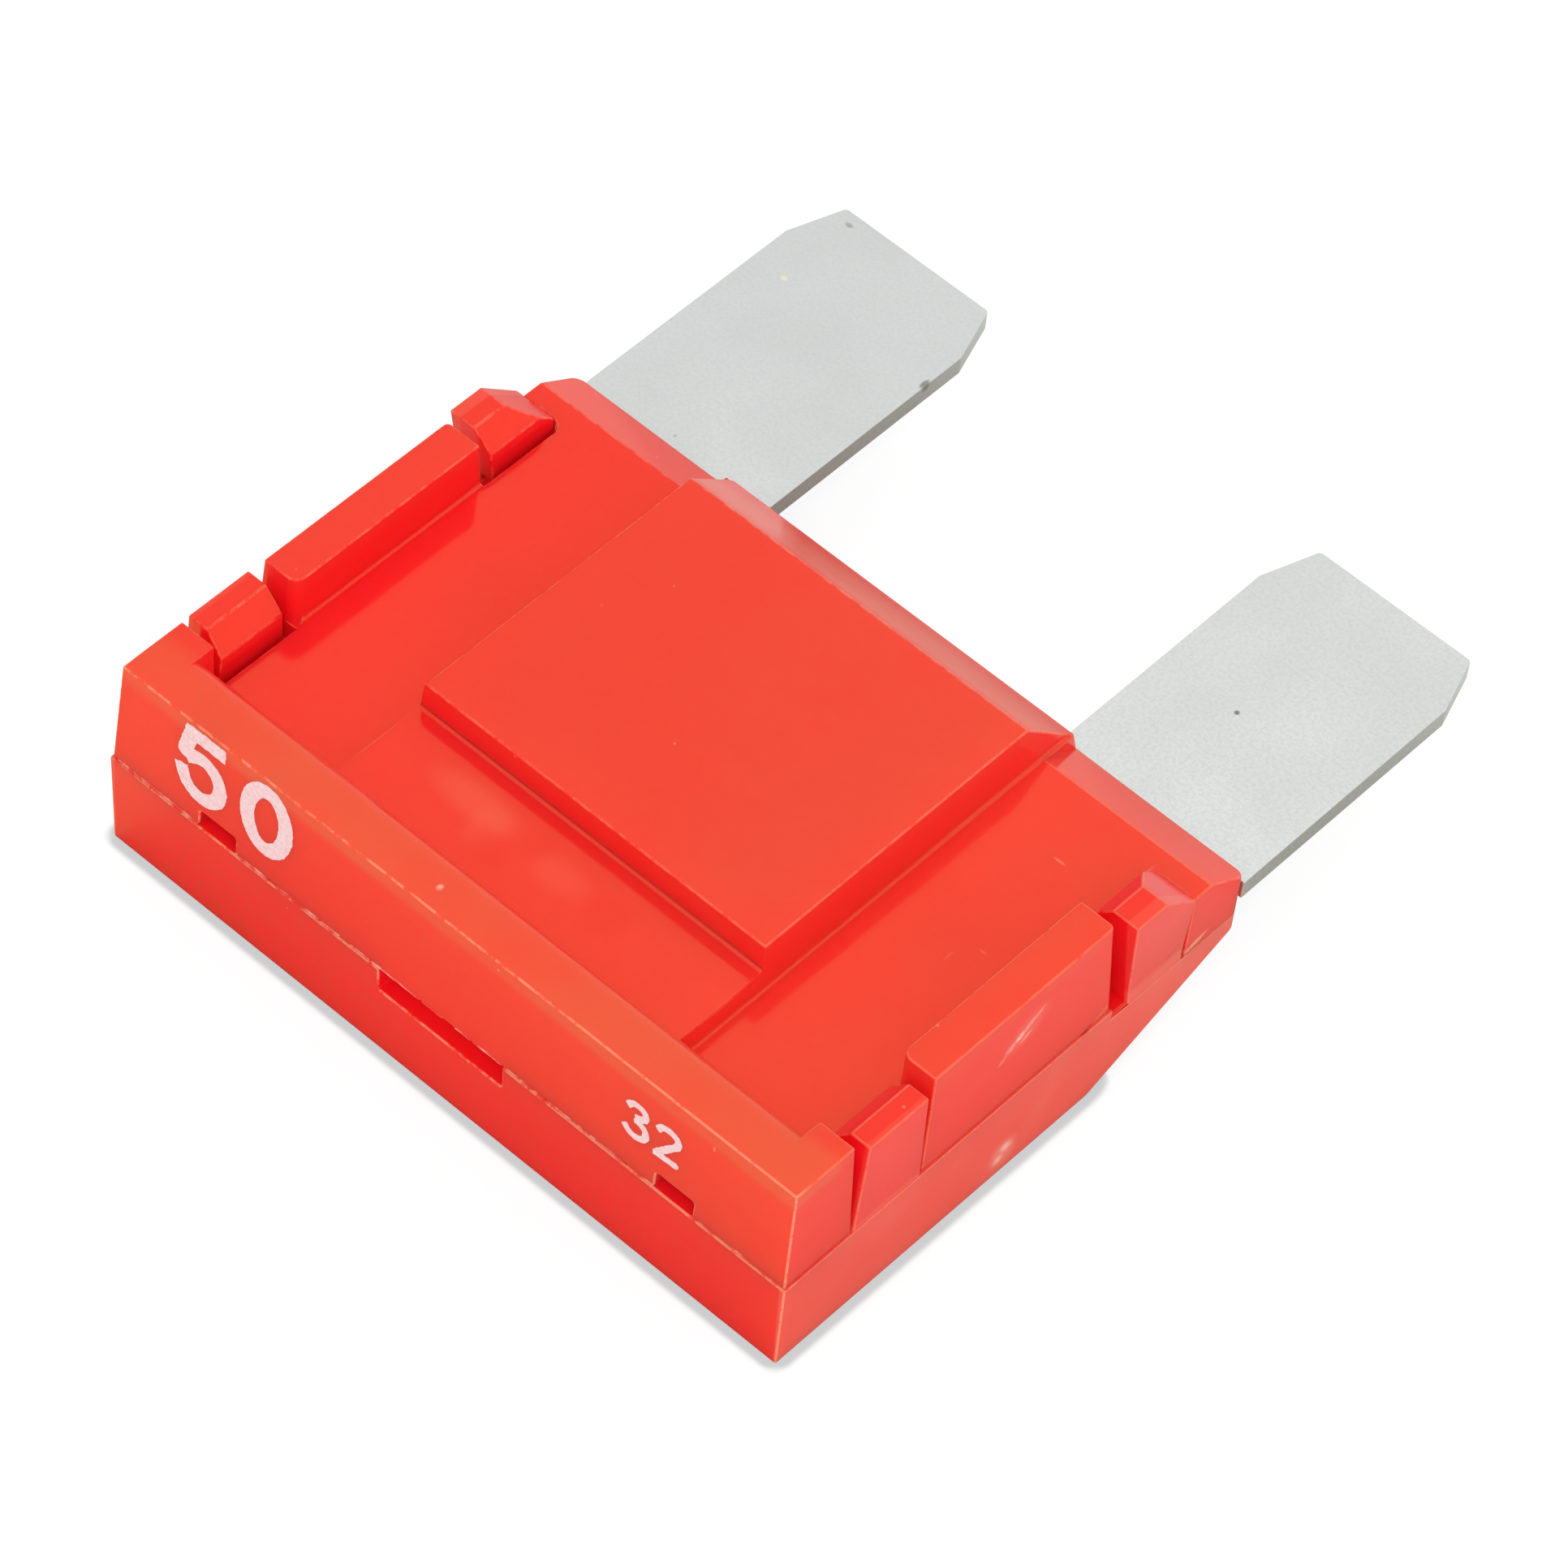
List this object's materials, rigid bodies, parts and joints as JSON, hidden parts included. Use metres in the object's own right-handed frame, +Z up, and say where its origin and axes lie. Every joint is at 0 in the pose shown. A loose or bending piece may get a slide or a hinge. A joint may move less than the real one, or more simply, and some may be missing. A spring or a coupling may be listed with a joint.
{
  "type": "automotive blade fuse",
  "caption": "Large plug-in automotive fuse: flat red two-part snap-fit housing with a raised centre block and side hooks, and two wide tapered metal blades.",
  "frame": {"origin": "centre of the footprint, on the plane of the lower half's broad face that the fuse lies on", "axes": "+X across the width, from one blade to the other; +Y along the length, from the head face to the blade tips; +Z up through the thickness, from the rest face to the face of the upper half"},
  "size_m": [0.0296, 0.0342, 0.0087],
  "materials": {
    "housing_plastic": "moulded, semi-gloss, through-coloured red",
    "element_metal": "rolled zinc-alloy sheet, dull silver"
  },
  "bodies": {
    "root": {"lower_housing": "housing_plastic", "fuse_element": "element_metal", "upper_housing": "housing_plastic"}
  },
  "joints": []
}
